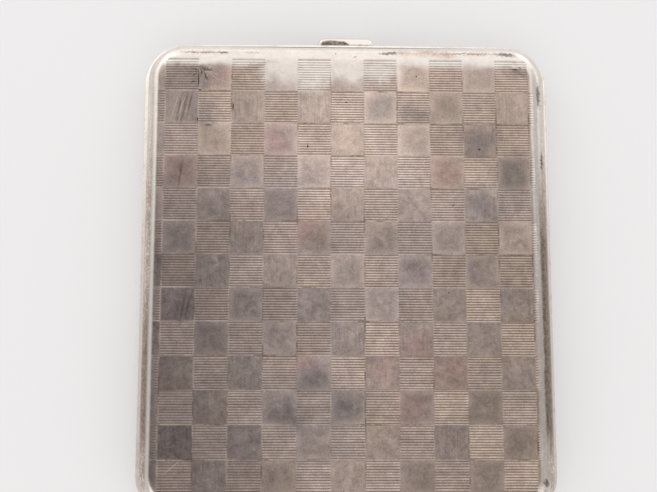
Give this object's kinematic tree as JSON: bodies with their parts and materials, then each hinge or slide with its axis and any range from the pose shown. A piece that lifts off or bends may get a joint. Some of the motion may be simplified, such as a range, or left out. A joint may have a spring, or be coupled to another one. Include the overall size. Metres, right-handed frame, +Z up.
{
  "type": "cigarette case",
  "caption": "Flat hinged silver case with rounded edges, a chequered engine-turned face and a sprung push catch; it holds one row of cigarettes under an elastic strap.",
  "frame": {"origin": "centre of the base's flat underside, at the middle of the case's width and length", "axes": "+Z up through the closed case to the lid's face, +Y from the hinge towards the push bar, +X to the right seen from above with the push bar away from the viewer"},
  "size_m": [0.0816, 0.0981, 0.01],
  "materials": {
    "silver": "satin",
    "polished_silver": "gloss",
    "spring_nickel": "satin",
    "elastic": "matte"
  },
  "bodies": {
    "base": {"base_shell": "silver", "base_edge_frame": "polished_silver", "base_bezel_left": "polished_silver", "base_bezel_right": "polished_silver", "base_hinge_bearer": "polished_silver", "base_knuckle_1": "polished_silver", "base_knuckle_2": "polished_silver", "base_knuckle_3": "polished_silver", "base_knuckle_4": "polished_silver", "hinge_pin": "spring_nickel", "catch_spring": "spring_nickel", "catch_rivet_left": "polished_silver", "catch_rivet_right": "polished_silver", "strap_loop_front": "polished_silver", "strap_loop_back": "polished_silver", "elastic_strap": "elastic"},
    "thumb": {"thumb_piece": "polished_silver", "thumb_shank": "polished_silver"},
    "lid": {"lid_shell": "silver", "lid_edge_frame": "polished_silver", "lid_hinge_bearer": "polished_silver", "lid_knuckle_1": "polished_silver", "lid_knuckle_2": "polished_silver", "lid_knuckle_3": "polished_silver", "lid_keeper": "polished_silver"}
  },
  "joints": [
    {"name": "lid_hinge", "type": "hinge", "parent": "base", "child": "lid", "pos_m": [0, -0.04735, 0.005], "axis": [1, 0, 0], "range_deg": [0, 180]},
    {"name": "thumb_press", "type": "slide", "parent": "base", "child": "thumb", "axis": [0, -1, 0], "range_m": [0, 0.0008], "stiffness_N_per_m": 1500, "deforming": ["catch_spring"]}
  ]
}
